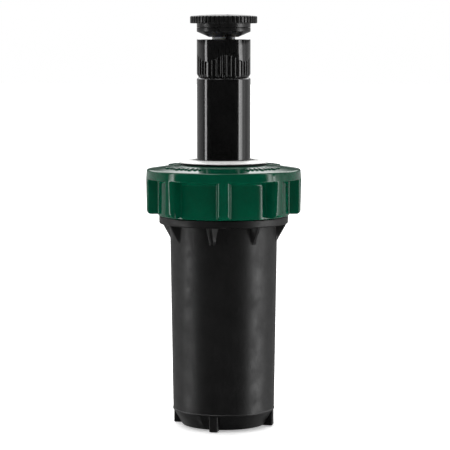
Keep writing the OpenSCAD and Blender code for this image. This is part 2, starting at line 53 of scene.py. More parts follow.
# Sizes in millimetres, and one angle in degrees, that several shapes share.
FOOT_PHASE = -11.8
INLET_R = 9.2
INLET_LOW = 1.6
INLET_TOP = 13.4
CASE_WALL_R = 20.2
CASE_TOP = 93.4
CAP_THREAD = {"z": 83.0, "pitch": 3.0, "turns": 2.5, "foot_w": 1.6, "top_w": 0.7}
RIM_R = 29.3
RIM_LOW = 93.7
RIM_TOP_R = 29.08
RIM_TOP = 97.3
MOUTH_R = 16.95
CAP_TOP = 99.1
RISER_R = 10.1
NOZZLE_LOW = 131.85
CUP_FLOOR = 141.2
KNOB_R = 12.6


# ---------------------------------------------------------------- geometry helpers
# Everything is worked out in millimetres and scaled once, when a piece is finished.


def at(r, a, z):
    """Radius r, a degrees round from the front towards +X, height z."""
    t = math.radians(a)
    return (r * math.sin(t), -r * math.cos(t), z)


def facing(a, x, y, z):
    """x out along the direction a, y to its side, height z."""
    t = math.radians(a)
    return (x * math.sin(t) + y * math.cos(t), y * math.sin(t) - x * math.cos(t), z)


def spread(start, stop, count, first=0):
    """Evenly spaced values that reach stop in count steps, from step number first on."""
    return [start + (stop - start) * k / count for k in range(first, count + 1)]


def rounded(points, seg=5, closed=True):
    """A profile of (r, z) or (r, z, corner radius) points with its corners rounded."""
    nearly_straight, most_of_leg = 0.01, 0.49
    out, n = [], len(points)
    for i, p in enumerate(points):
        corner = Vector(p[:2])
        radius = p[2] if len(p) > 2 else 0
        if not radius or (not closed and i in (0, n - 1)):
            out.append((corner.x, corner.y))
            continue
        back = Vector(points[i - 1][:2]) - corner
        ahead = Vector(points[(i + 1) % n][:2]) - corner
        u, v = back / back.length, ahead / ahead.length
        half = u.angle(v) / 2
        if half > math.pi / 2 - nearly_straight:
            out.append((corner.x, corner.y))
            continue
        inset = min(radius / math.tan(half), back.length * most_of_leg, ahead.length * most_of_leg)
        centre = corner + (u + v).normalized() * (inset * math.tan(half) / math.sin(half))
        first, last = corner + u * inset - centre, corner + v * inset - centre
        turn = math.atan2(first.x * last.y - first.y * last.x, first.dot(last))
        for w in spread(0, turn, seg):
            x = centre.x + first.x * math.cos(w) - first.y * math.sin(w)
            y = centre.y + first.x * math.sin(w) + first.y * math.cos(w)
            out.append((x, y))
    return out


def split(profile, step, closed=True):
    """Long profile legs cut into pieces of about step, so that shading and wear have points to work on."""
    out = []
    for i, p in enumerate(profile):
        if i == len(profile) - 1 and not closed:
            return out + [p]
        q = profile[(i + 1) % len(profile)]
        n = max(1, int(math.hypot(q[0] - p[0], q[1] - p[1]) / step))
        out += [(p[0] + (q[0] - p[0]) * k / n, p[1] + (q[1] - p[1]) * k / n) for k in range(n)]
    return out


def rib_plan(count, r_in, r_out, half_w, corner, fillet):
    """(angle, radius) all round a wall with ribs, with rounded outer corners and filleted feet."""
    corner_x = math.sqrt((r_out - corner) ** 2 - (half_w - corner) ** 2)
    fillet_x = math.sqrt((r_in + fillet) ** 2 - (half_w + fillet) ** 2)
    crest_end = math.atan2(half_w - corner, corner_x)
    wall_start = math.atan2(half_w + fillet, fillet_x)
    half = [(r_out * math.cos(w), r_out * math.sin(w)) for w in spread(0, crest_end, 3)]
    for w in spread(crest_end, math.pi / 2, 6, 1):
        half.append((corner_x + corner * math.cos(w), half_w - corner + corner * math.sin(w)))
    half += [(x, half_w) for x in spread(corner_x, fillet_x, 3, 1)[:-1]]
    for w in spread(-math.pi / 2, wall_start - math.pi, 7):
        half.append((fillet_x + fillet * math.cos(w), half_w + fillet + fillet * math.sin(w)))
    half += [(r_in * math.cos(w), r_in * math.sin(w)) for w in spread(wall_start, math.pi / count, 14, 1)]
    polar = [(math.degrees(math.atan2(y, x)), math.hypot(x, y)) for x, y in half]
    one = [(-t, r) for t, r in reversed(polar)] + polar[1:-1]
    return [(360 / count * i + t, r) for i in range(count) for t, r in one]


def round_box(half_l, half_w, corner):
    """The outline of a rectangle round the origin, with rounded corners."""
    outline = []
    for quarter, (side_x, side_y) in enumerate(((1, 1), (-1, 1), (-1, -1), (1, -1))):
        for a in spread(90 * quarter, 90 * quarter + 90, 4):
            w = math.radians(a)
            x = (half_l - corner) * side_x + corner * math.cos(w)
            y = (half_w - corner) * side_y + corner * math.sin(w)
            outline.append((x, y))
    return outline


def grooved(count, half):
    """(angle, depth) all round a grip. half holds (tenths of a pitch, depth) up to the groove's middle."""
    places = half + [(-x, depth) for x, depth in reversed(half[1:]) if x]
    pitch = 360 / count
    return [(pitch * i + pitch / 10 * x, depth) for i in range(count) for x, depth in places]


def smooth_max(a, b, k):
    """The larger of the two, with the step between them rounded over k."""
    h = max(k - abs(a - b), 0.0) / k if k else 0.0
    return max(a, b) + h * h * k / 4


def shade(mesh, sharp=SHARP):
    """Smooth faces, with the edges sharper than sharp degrees kept sharp."""
    mesh.polygons.foreach_set("use_smooth", [True] * len(mesh.polygons))
    mesh.set_sharp_from_angle(angle=math.radians(sharp))


class Shape:
    """A mesh under construction."""

    def __init__(self):
        self.bm = bmesh.new()

    def face(self, verts):
        try:
            self.bm.faces.new(verts)
        except ValueError:
            pass

    def loft(self, rings, loop=True, ends=False):
        """Quads between closed rings of equally many points.

        loop joins the last ring to the first, and ends caps the first and the last.
        """
        rows = [[self.bm.verts.new(p) for p in ring] for ring in rings]
        n = len(rows[0])
        for i in range(len(rows) if loop else len(rows) - 1):
            a, b = rows[i], rows[(i + 1) % len(rows)]
            for j in range(n):
                k = (j + 1) % n
                self.face((a[j], a[k], b[k], b[j]))
        if ends:
            self.face(rows[0][::-1])
            self.face(rows[-1])
        return self

    def revolve(self, profile, seg=SEG, loop=True):
        """A profile turned all the way round."""
        return self.loft([[at(r, 360 * j / seg, z) for j in range(seg)] for r, z in profile], loop=loop)

    def sector(self, profile, start, stop, seg):
        """A closed profile turned through part of a circle, with flat ends."""
        rings = [[at(r, a, z) for r, z in profile] for a in spread(start, stop, seg)]
        return self.loft(rings, loop=False, ends=True)

    def rod(self, x, y, radius, low, high, seg):
        """An upright round bar whose middle is at (x, y)."""
        rings = []
        for z in (low, high):
            turns = [math.radians(360 * k / seg) for k in range(seg)]
            rings.append([(x + radius * math.cos(w), y + radius * math.sin(w), z) for w in turns])
        return self.loft(rings, loop=False, ends=True)

    def helix(self, root, crest, z, pitch, turns, phase, foot_w, top_w):
        """A thread ridge that rises out of its wall and sinks back into it at both ends."""
        # the ridge fades in a sixth of a turn, and never quite to nothing
        per_turn, fades, least = 72, 6, 0.03
        shoulder = 0.12
        steps, rings = int(per_turn * turns), []
        for i in range(steps + 1):
            fade = min(1.0, fades * i / per_turn, fades * (steps - i) / per_turn)
            top = root + (crest - root) * (least + (1 - least) * math.sin(fade * math.pi / 2))
            edge = top - (top - root) * shoulder
            middle = (root + top) / 2
            a, h = phase + 360 * i / per_turn, z + pitch * i / per_turn
            half = [(root, foot_w / 2), (middle, (foot_w + top_w) / 4), (edge, top_w / 2), (top, top_w / 4)]
            rings.append([at(r, a, h - w) for r, w in half] + [at(r, a, h + w) for r, w in reversed(half)])
        return self.loft(rings, loop=False, ends=True)

    def block(self, x, w, z, a=0.0, bevel=0.25, seg=3):
        """A box from x[0] to x[1] along the direction a, w wide, from z[0] to z[1], with rounded edges."""
        t = math.radians(a)
        u, v = Vector((math.sin(t), -math.cos(t), 0)), Vector((math.cos(t), math.sin(t), 0))
        part = bmesh.new()
        cube = bmesh.ops.create_cube(part, size=1)
        for p in cube["verts"]:
            c = p.co
            p.co = (
                u * (x[0] + (x[1] - x[0]) * (c.x + 0.5))
                + v * (w * c.y)
                + Vector((0, 0, z[0] + (z[1] - z[0]) * (c.z + 0.5)))
            )
        if bevel:
            bmesh.ops.recalc_face_normals(part, faces=part.faces)
            bmesh.ops.bevel(part, geom=part.edges[:], offset=bevel, segments=seg, profile=0.5, affect="EDGES")
        self.take(part)
        return self

    def take(self, part):
        """Adds another bmesh and frees it."""
        mesh = bpy.data.meshes.new("part")
        part.to_mesh(mesh)
        part.free()
        self.bm.from_mesh(mesh)
        bpy.data.meshes.remove(mesh)

    def finish(self, name, body, material, replaces, sharp=SHARP, weld=0.0015):
        """Welds, scales to metres, shades and dresses the mesh, hangs it on its body if it has one, and hides
        the CAD parts it stands for.
        """
        bm = self.bm
        bmesh.ops.remove_doubles(bm, verts=bm.verts, dist=weld)
        bmesh.ops.dissolve_degenerate(bm, edges=bm.edges, dist=weld)
        bmesh.ops.recalc_face_normals(bm, faces=bm.faces)
        bmesh.ops.scale(bm, vec=(MM, MM, MM), verts=bm.verts)
        mesh = bpy.data.meshes.new(name)
        bm.to_mesh(mesh)
        bm.free()
        shade(mesh, sharp)
        obj = bpy.data.objects.new(name, mesh)
        bpy.context.scene.collection.objects.link(obj)
        mesh.materials.append(material)
        normals = obj.modifiers.new("normals", "WEIGHTED_NORMAL")
        normals.keep_sharp = True
        normals.weight = 60
        if body:
            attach(obj, body)
        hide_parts(*replaces)
        return obj


def cut(obj, shape):
    """Subtracts a closed shape from a finished piece and shades it again."""
    bmesh.ops.recalc_face_normals(shape.bm, faces=shape.bm.faces)
    bmesh.ops.scale(shape.bm, vec=(MM, MM, MM), verts=shape.bm.verts)
    mesh = bpy.data.meshes.new("cutter")
    shape.bm.to_mesh(mesh)
    shape.bm.free()
    tool = bpy.data.objects.new("cutter", mesh)
    bpy.context.scene.collection.objects.link(tool)
    mod = obj.modifiers.new("cut", "BOOLEAN")
    mod.operation = "DIFFERENCE"
    mod.solver = "EXACT"
    mod.object = tool
    for m in obj.modifiers:
        m.show_viewport = m == mod
    new = bpy.data.meshes.new_from_object(obj.evaluated_get(bpy.context.evaluated_depsgraph_get()))
    obj.modifiers.remove(mod)
    for m in obj.modifiers:
        m.show_viewport = True
    old, obj.data = obj.data, new
    name = old.name
    bpy.data.meshes.remove(old)
    new.name = name
    shade(new)
    bpy.data.objects.remove(tool)
    bpy.data.meshes.remove(mesh)


# ---------------------------------------------------------------- materials


class Tree:
    """Short names for building a node tree."""

    def __init__(self, tree):
        self.tree = tree

    def link(self, a, b):
        self.tree.links.new(a, b)

    def node(self, kind, **values):
        n = self.tree.nodes.new(kind)
        for k, v in values.items():
            setattr(n, k, v)
        return n

    def calc(self, op, a, b=0.0):
        n = self.node("ShaderNodeMath", operation=op)
        for socket, v in zip(n.inputs, (a, b)):
            if isinstance(v, (int, float)):
                socket.default_value = v
            else:
                self.link(v, socket)
        return n.outputs[0]

    def ramp(self, value, a, b, low=0.0, high=1.0):
        """A smooth step from low, where the value is a, to high, where it is b."""
        n = self.node("ShaderNodeMapRange", interpolation_type="SMOOTHSTEP")
        n.inputs["From Min"].default_value = a
        n.inputs["From Max"].default_value = b
        n.inputs["To Min"].default_value = low
        n.inputs["To Max"].default_value = high
        self.link(value, n.inputs["Value"])
        return n.outputs["Result"]


class Surface(Tree):
    """A material whose coordinates are millimetres on the piece."""

    def __init__(self, name):
        self.mat = bpy.data.materials.new(name)
        self.mat.use_nodes = True
        super().__init__(self.mat.node_tree)
        self.shader = self.tree.nodes["Principled BSDF"]
        coords = self.node("ShaderNodeTexCoord")
        scale = self.node("ShaderNodeMapping")
        scale.inputs["Scale"].default_value = (1000, 1000, 1000)
        self.link(coords.outputs["Object"], scale.inputs["Vector"])
        self.mm = scale.outputs["Vector"]

    def noise(self, size, detail=3.0, rough=0.55, stretch=(1, 1, 1), distortion=0.0):
        """Noise whose features are about size millimetres across."""
        m = self.node("ShaderNodeMapping")
        m.inputs["Scale"].default_value = stretch
        self.link(self.mm, m.inputs["Vector"])
        n = self.node("ShaderNodeTexNoise")
        n.inputs["Scale"].default_value = 1 / size
        n.inputs["Detail"].default_value = detail
        n.inputs["Roughness"].default_value = rough
        n.inputs["Distortion"].default_value = distortion
        self.link(m.outputs["Vector"], n.inputs["Vector"])
        return n.outputs["Fac"]

    def mix(self, fac, a, b):
        n = self.node("ShaderNodeMix", data_type="RGBA")
        for socket, v in ((n.inputs[0], fac), (n.inputs[6], a), (n.inputs[7], b)):
            if isinstance(v, (int, float)):
                socket.default_value = v
            elif isinstance(v, tuple):
                socket.default_value = (*v, 1)
            else:
                self.link(v, socket)
        return n.outputs[2]

    def edges(self):
        """1 on outer edges, where a piece is rubbed."""
        geo = self.node("ShaderNodeNewGeometry")
        return self.ramp(geo.outputs["Pointiness"], 0.53, 0.62)

    def bump(self, height, distance, under=None):
        """Relief of distance millimetres, on top of the relief under it."""
        n = self.node("ShaderNodeBump")
        n.inputs["Distance"].default_value = distance * MM
        n.inputs["Strength"].default_value = 1.0
        self.link(height, n.inputs["Height"])
        if under is not None:
            self.link(under, n.inputs["Normal"])
        return n.outputs["Normal"]


def moulded(
    name,
    colour,
    rough,
    dark=0.8,
    light=1.25,
    grain=0.45,
    grain_h=0.006,
    swell=0.02,
    wear=0.35,
    scratch=0.5,
    spec=0.5,
    rough_spread=0.08,
    subsurface=0.0,
):
    """Injection-moulded plastic or rubber.

    It has mottled pigment, fine grain, slow sink-mark swell, hairline scratches and rubbed edges.
    """
    n = Surface(name)
    # pigment: clouds of about 9 mm and flecks under a millimetre
    cloud = n.ramp(n.noise(9.0, 4, 0.6), 0.3, 0.7)
    fleck = n.ramp(n.noise(0.7, 2, 0.5), 0.35, 0.65)
    base = n.mix(cloud, tuple(c * dark for c in colour), tuple(min(1, c * light) for c in colour))
    base = n.mix(n.calc("MULTIPLY", fleck, 0.12), base, tuple(min(1, c * 1.5 + 0.001) for c in colour))
    # hairline scratches run mostly one way and come in patches
    hair = n.ramp(n.noise(0.35, 2, 0.6, stretch=(1, 1, 0.06), distortion=0.6), 0.66, 0.72)
    patch = n.ramp(n.noise(14.0, 2), 0.5, 0.68)
    hair = n.calc("MULTIPLY", hair, patch)
    # rubbed edges and scratches show paler and rougher
    rub = n.calc("MULTIPLY", n.edges(), n.ramp(n.noise(2.2, 4, 0.7), 0.35, 0.7))
    pale = tuple(min(1, c * 1.5 + 0.045) for c in colour)
    base = n.mix(n.calc("MULTIPLY", rub, wear), base, pale)
    base = n.mix(n.calc("MULTIPLY", hair, 0.25 * scratch), base, pale)
    n.link(base, n.shader.inputs["Base Color"])
    r = n.ramp(n.noise(5.0, 5, 0.65), 0.25, 0.75, rough - rough_spread, rough + rough_spread)
    r = n.calc("ADD", r, n.calc("MULTIPLY", hair, 0.15 * scratch))
    r = n.calc("ADD", r, n.calc("MULTIPLY", rub, 0.12))
    n.link(r, n.shader.inputs["Roughness"])
    slow = n.bump(n.noise(11.0, 1, 0.4), swell)
    fine = n.bump(n.noise(grain, 3, 0.6), grain_h, under=slow)
    lines = n.bump(hair, 0.004 * scratch, under=fine)
    n.link(lines, n.shader.inputs["Normal"])
    inputs = n.shader.inputs
    inputs["IOR"].default_value = 1.5
    inputs["Specular IOR Level"].default_value = spec
    inputs["Subsurface Weight"].default_value = subsurface
    inputs["Subsurface Radius"].default_value = (1.0, 0.95, 0.85)
    inputs["Subsurface Scale"].default_value = 0.002
    return n.mat


def brushed(name, colour, rough, turned=True):
    """Bright stainless steel with fine turned or drawn lines and faint tarnish."""
    n = Surface(name)
    stretch = (1, 1, 7) if turned else (0.15, 0.15, 1)
    line = n.noise(0.25, 3, 0.6, stretch=stretch)
    stain = n.ramp(n.noise(3.0, 4, 0.6), 0.35, 0.75)
    base = n.mix(stain, colour, tuple(c * 0.72 for c in colour))
    n.link(base, n.shader.inputs["Base Color"])
    n.link(n.ramp(line, 0.3, 0.7, rough - 0.08, rough + 0.1), n.shader.inputs["Roughness"])
    n.link(n.bump(line, 0.003), n.shader.inputs["Normal"])
    n.shader.inputs["Metallic"].default_value = 1.0
    return n.mat


case_black = moulded(
    "case_black", (0.0052, 0.0052, 0.0054), 0.5, grain=0.5, grain_h=0.010, wear=0.5, spec=0.72
)
riser_black = moulded(
    "riser_black",
    (0.0036, 0.0036, 0.0037),
    0.13,
    grain=0.8,
    grain_h=0.0012,
    swell=0.004,
    wear=0.3,
    spec=0.64,
    rough_spread=0.03,
)
knob_black = moulded(
    "knob_black", (0.0075, 0.0075, 0.0076), 0.3, grain=0.5, grain_h=0.004, swell=0.01, wear=0.45, spec=0.55
)
cap_green = moulded(
    "cap_green",
    (0.0, 0.056, 0.028),
    0.12,
    dark=0.9,
    light=1.1,
    grain=0.7,
    grain_h=0.0012,
    swell=0.006,
    wear=0.15,
    scratch=0.15,
    spec=0.4,
    rough_spread=0.03,
)
filter_green = moulded("filter_green", (0.002, 0.09, 0.05), 0.35)
seal_rubber = moulded(
    "seal_rubber", (0.010, 0.010, 0.011), 0.6, grain=0.3, grain_h=0.008, wear=0.2, scratch=0.1
)
collar_white = moulded(
    "collar_white", (0.86, 0.86, 0.84), 0.3, dark=0.97, light=1.03, grain=0.6, grain_h=0.003, wear=0.1
)
inner_white = moulded(
    "inner_white",
    (0.94, 0.94, 0.92),
    0.38,
    dark=0.98,
    light=1.03,
    grain=0.5,
    grain_h=0.004,
    wear=0.1,
    subsurface=1.0,
)
ring_rubber = moulded("ring_rubber", (0.008, 0.008, 0.009), 0.45, grain=0.25, grain_h=0.004, scratch=0.1)
screw_steel = brushed("screw_steel", (0.4, 0.4, 0.41), 0.32)
spring_steel = brushed("spring_steel", (0.6, 0.6, 0.61), 0.22, turned=False)


def dress(material, *nodes):
    """Gives the CAD nodes that are carried over as they are their material."""
    for node in nodes:
        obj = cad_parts[node]
        obj.data.materials.clear()
        obj.data.materials.append(material)


dress(inner_white, "spring_washer", "ratchet_ring", "nozzle_core", "throttle_plug")
dress(filter_green, "filter_basket")
dress(ring_rubber, "body_o_ring")
dress(spring_steel, "ratchet_clip")
dress(screw_steel, "radius_screw")


# ---------------------------------------------------------------- case


def add_inlet_thread(shape):
    """The inlet's inside thread, which fades out at both ends."""
    pitch, depth = 1.814, 1.25
    fade_top, fade_low = 1.2, 0.8
    rows = []
    for z in spread(INLET_TOP, INLET_LOW, 104):
        fade = min(1.0, (INLET_TOP - z) / fade_top, (z - INLET_LOW) / fade_low)
        row = []
        for j in range(SEG):
            a = 360 * j / SEG
            across = ((z - INLET_LOW) / pitch - a / 360) % 1.0
            # a pointed tooth, with its crest and its root cut a little flat
            tooth = min(1.0, max(0.0, (1 - abs(2 * across - 1)) * 1.15 - 0.08))
            row.append(at(INLET_R + depth * fade * tooth, a, z))
        rows.append(row)
    shape.loft(rows, loop=False)


def add_gusset(shape, a):
    """A bracket under the flange that grows as it rises, and flares where it meets the wall."""
    low, high = 70.2, 77.0
    reach_low, reach_high = CASE_WALL_R + 0.1, 24.05
    flare = 0.35
    rings = []
    for t in spread(0, 1, 8):
        reach = reach_low + (reach_high - reach_low) * min(1.0, t * 1.03)
        depth = reach - CASE_WALL_R
        half_w, half_edge = 0.7 + 1.4 * t, 0.55 + 0.3 * t
        side = [
            (CASE_WALL_R - 0.6, half_w + flare),
            (CASE_WALL_R + 0.08, half_w + flare),
            (CASE_WALL_R + 0.2, half_w + flare * 0.35),
            (CASE_WALL_R + min(0.45, depth * 0.5), half_w),
            (max(reach - 0.3, CASE_WALL_R + min(0.5, depth * 0.6)), half_edge),
            (reach - 0.08 * t, half_edge * 0.75),
            (reach, half_edge * 0.4),
        ]
        outline = [(x, -y) for x, y in side] + side[::-1]
        rings.append([facing(a, x, y, low + (high - low) * t) for x, y in outline])
    shape.loft(rings, loop=False, ends=True)


def build_case():
    shape = Shape()
    # the profile starts and ends on the inlet's bore, which the thread closes
    profile = [
        (INLET_R, INLET_LOW),
        (10.5, 0.3, 0.12),
        (12.5, 0.3, 0.2),
        # the hollow round the inlet, inside the tapered foot
        (12.5, 12.6, 0.6),
        (17.4, 12.6, 0.6),
        (17.4, 6.3, 0.3),
        (14.2, 0.3, 0.2),
        (15.8, 0.3, 0.25),
        # the bead round the foot, the wall and the flange
        (19.08, 5.95, 0.1),
        (19.35, 6.1, 0.12),
        (19.35, 6.42, 0.12),
        (19.21, 6.6, 0.1),
        (20.3, 76.8, 0.5),
        (24.4, 76.8, 0.6),
        (24.4, 79.6, 0.3),
        # the neck inside the cap, with the ring's groove in its top
        (21.0, 79.6, 0.4),
        (21.0, CASE_TOP, 0.45),
        (20.3, CASE_TOP),
        (20.3, 92.3),
        (18.9, 92.3),
        (18.9, CASE_TOP),
        # the inside of the barrel
        (18.2, CASE_TOP, 0.35),
        (17.0, 15.0, 0.8),
        (INLET_R, 15.0),
        (INLET_R, INLET_TOP),
    ]
    shape.revolve(split(rounded(profile), 4.0, closed=False), loop=False)
    add_inlet_thread(shape)
    web = rounded([(12.3, 0.5), (14.9, 0.5), (18.0, 6.2), (18.0, 12.8), (12.3, 12.8)])
    for i in range(8):
        a = FOOT_PHASE + 45 * i
        shape.sector(web, a - 3, a + 3, 2)
        add_gusset(shape, a)
    for i in range(4):
        shape.block((14.3, 19.15), 3.2, (0.0, 6.9), FOOT_PHASE + 90 * i, bevel=0.4, seg=4)
    # the ribs that guide the riser's foot
    for i in range(6):
        shape.block((16.2, 17.9), 2.0, (14.6, 75.0), FOOT_PHASE + 60 * i, bevel=0.3)
    shape.helix(root=20.9, crest=22.3, phase=0, **CAP_THREAD)
    return shape.finish("case_shell", "case_body", case_black, ("case",))


# ---------------------------------------------------------------- cap


def add_marks(shape):
    """Raised marks in four rows, which follow the sloping top."""
    slope = (CAP_TOP - RIM_TOP) / (MOUTH_R - RIM_TOP_R)
    middle_r, half_w, corner = 22.6, 0.55, 0.3
    half_lengths = (1.7, 1.1, 1.1)
    # how far each layer grows past the outline, and its height over the slope
    layers = ((0.12, -0.15), (0.12, 0.0), (0.06, 0.2), (0.0, 0.42), (-0.12, 0.5))
    for start in (-62, 22, 118, 202):
        for i in range(9):
            rows = []
            for grow, height in layers:
                outline = round_box(half_lengths[i % 3] + grow, half_w + grow, corner)
                ring = []
                for x, y in outline:
                    r = middle_r + x
                    z = RIM_TOP + slope * (r - RIM_TOP_R) + height
                    ring.append(facing(start + 5 * i, r, y, z))
                rows.append(ring)
            shape.loft(rows, loop=False, ends=True)


def build_cap():
    shape = Shape()
    rib_half_w, rib_edge, rib_foot = 2.45, 1.8, 0.7
    wall_low, wall_low_r, wall_high_r = 80.15, 24.75, 24.55
    rib_low, rib_low_r, rib_high = 80.4, 29.07, 93.9
    rib_corner = 1.5
    fillet_low, fillet = 91.9, 1.8
    rim_corner = 0.55
    plan = rib_plan(8, (wall_low_r + wall_high_r) / 2, RIM_R, rib_half_w, rib_edge, rib_foot)
    rings = []

    def row(r_in, r_rib, z, blend=0.0):
        """The wall is at r_in, and the ribs reach out to r_rib at most."""
        rings.append([at(smooth_max(r_in, min(r, r_rib), blend), a, z) for a, r in plan])

    def rib_r(z):
        return rib_low_r + (RIM_R - rib_low_r) * min(1.0, (z - rib_low) / (rib_high - rib_low))

    def wall_r(z):
        """The panels lean in by a degree, so that the cap draws out of its mould."""
        share = min(1.0, max(0.0, (z - wall_low) / (RIM_LOW - wall_low)))
        return wall_low_r + (wall_high_r - wall_low_r) * share

    for r, z in ((23.1, 79.8), (24.4, 79.8), (24.62, 79.86), (24.73, 79.98), (wall_low_r, wall_low)):
        row(r, r, z)
    row(wall_r(rib_low), wall_r(rib_low), rib_low)
    # the ribs' round lower corners
    for w in spread(0, math.pi / 2, 8):
        z = rib_low + rib_corner * (1 - math.cos(w))
        row(wall_r(z), rib_r(z) - rib_corner + rib_corner * math.sin(w), z)
    for z in spread(rib_low + rib_corner, fillet_low, 8, 1)[:-1]:
        row(wall_r(z), rib_r(z), z)
    # each panel runs up into the rim in a fillet
    for k, w in enumerate(spread(0, math.pi / 2, 10)):
        z = fillet_low + fillet * math.sin(w)
        row(wall_r(z) + fillet * (1 - math.cos(w)), rib_r(z), z, 0.02 + 0.06 * k)
    for r in (27.2, 28.2, RIM_R - rim_corner):
        row(r, RIM_R, RIM_LOW, 0.5)
    for w in spread(0, math.pi / 2, 6, 1):
        r = RIM_R - rim_corner + rim_corner * math.sin(w)
        row(r, RIM_R, RIM_LOW + rim_corner * (1 - math.cos(w)), 0.3 * (1 - w / (math.pi / 2)))
    top = rounded(
        [
            (RIM_R, RIM_LOW + rim_corner),
            (RIM_TOP_R, RIM_TOP, 0.7),
            (MOUTH_R, CAP_TOP, 0.35),
            (MOUTH_R, 96.4),
            (22.75, 96.4, 0.3),
            (22.75, 80.15),
            (23.1, 79.8),
        ],
        seg=8,
        closed=False,
    )
    for r, z in split(top, 1.6, closed=False)[1:-1]:
        row(r, r, z)
    shape.loft(rings)
    shape.helix(root=22.85, crest=21.45, phase=180, **CAP_THREAD)
    add_marks(shape)
    return shape.finish("cap_shell", "cap_body", cap_green, ("cap",))


# ---------------------------------------------------------------- seal stack


def build_seal():
    shape = Shape()
    shape.revolve(
        rounded(
            [
                (10.14, 94.05, 0.1),
                (10.8, 93.65, 0.2),
                (20.7, 93.65, 0.4),
                (20.7, 96.2, 0.4),
                (15.7, 96.2, 0.5),
                (15.7, 99.65, 0.35),
                (13.1, 99.65, 0.2),
                (13.1, 96.2),
                (11.7, 96.2),
                (11.7, 99.45, 0.2),
                (11.1, 100.25, 0.15),
                (10.14, 100.25, 0.1),
                (10.14, 99.3, 0.1),
                (10.8, 98.4, 0.3),
                (10.8, 95.65, 0.3),
                (10.14, 94.85, 0.1),
            ]
        ),
        seg=192,
    )
    return shape.finish("wiper_seal_detail", "seal_body", seal_rubber, ("wiper_seal",))


def build_collar():
    shape = Shape()
    profile = rounded(
        [
            (11.8, 96.3, 0.1),
            (13.0, 96.3, 0.1),
            (13.0, 99.75, 0.15),
            (16.2, 99.75, 0.1),
            (16.5, 99.82, 0.06),
        ],
        closed=False,
    )
    dome_r, dome_middle, dome_low = 8.35, 12.6, 92.55
    crown = [(r, dome_low + math.sqrt(dome_r**2 - (r - dome_middle) ** 2)) for r in spread(16.42, 12.2, 16)]
    inner = [(11.98, 100.86), (11.86, 100.72), (11.8, 100.5), (11.8, 100.2)]
    shape.revolve(profile + crown + inner, seg=224)
    return shape.finish("collar_detail", "seal_body", collar_white, ("seal_collar",))


def build_spring():
    """The retract spring: closed ends, and twelve turns."""
    shape = Shape()
    coil_r, wire_r, turns, per_turn = 12.9, 0.6, 12, 36
    low, high, end_lift = 73.2 + wire_r, 92.4 - wire_r, 0.1
    rings = []
    for i in range(turns * per_turn + 1):
        turn = i / per_turn
        # the first and the last turn lie almost flat
        lift = end_lift * min(turn, 1) + end_lift * max(0.0, turn - (turns - 1))
        free = min(max(turn - 1, 0.0), turns - 2) / (turns - 2)
        z = low + lift + (high - low - 2 * end_lift) * free
        ring = []
        for b in range(0, 360, 30):
            w = math.radians(b)
            ring.append(at(coil_r + wire_r * math.cos(w), 360 * turn, z + wire_r * math.sin(w)))
        rings.append(ring)
    shape.loft(rings, loop=False, ends=True)
    obj = shape.finish(
        "retract_coil", None, spring_steel, ("retract_spring",), sharp=60, weld=0.0005
    )
    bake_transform(obj)


# ---------------------------------------------------------------- riser


def build_riser():
    shape = Shape()
    profile = [
        # the foot, and the groove over it
        (8.3, 66.0, 0.3),
        (15.4, 66.0, 0.4),
        (15.4, 69.3, 0.3),
        (RISER_R, 69.3),
        (RISER_R, 73.1),
        (9.6, 73.1),
        (9.6, 74.3),
        (RISER_R, 74.3, 0.1),
        # the tube, and the neck that the nozzle is screwed to
        (RISER_R, 131.2, 0.3),
        (9.45, 131.75, 0.1),
        (8.5, 131.75, 0.1),
        (8.5, 138.0, 0.25),
        (7.3, 138.0, 0.2),
        (7.3, 128.8, 0.3),
        (8.3, 127.8, 0.3),
    ]
    shape.revolve(rounded(profile))
    shape.helix(root=8.4, crest=8.85, z=132.9, pitch=1.6, turns=2.6, phase=40, foot_w=0.9, top_w=0.35)
    tooth = [(-0.8, 69.1), (0.8, 69.1), (0.45, 70.0), (-0.45, 70.0)]
    for i in range(24):
        rings = [[facing(15 * i, r, y, z) for y, z in tooth] for r in (12.2, 13.7, 15.3)]
        shape.loft(rings, loop=False, ends=True)
    return shape.finish("riser_tube", "riser_body", riser_black, ("riser",))


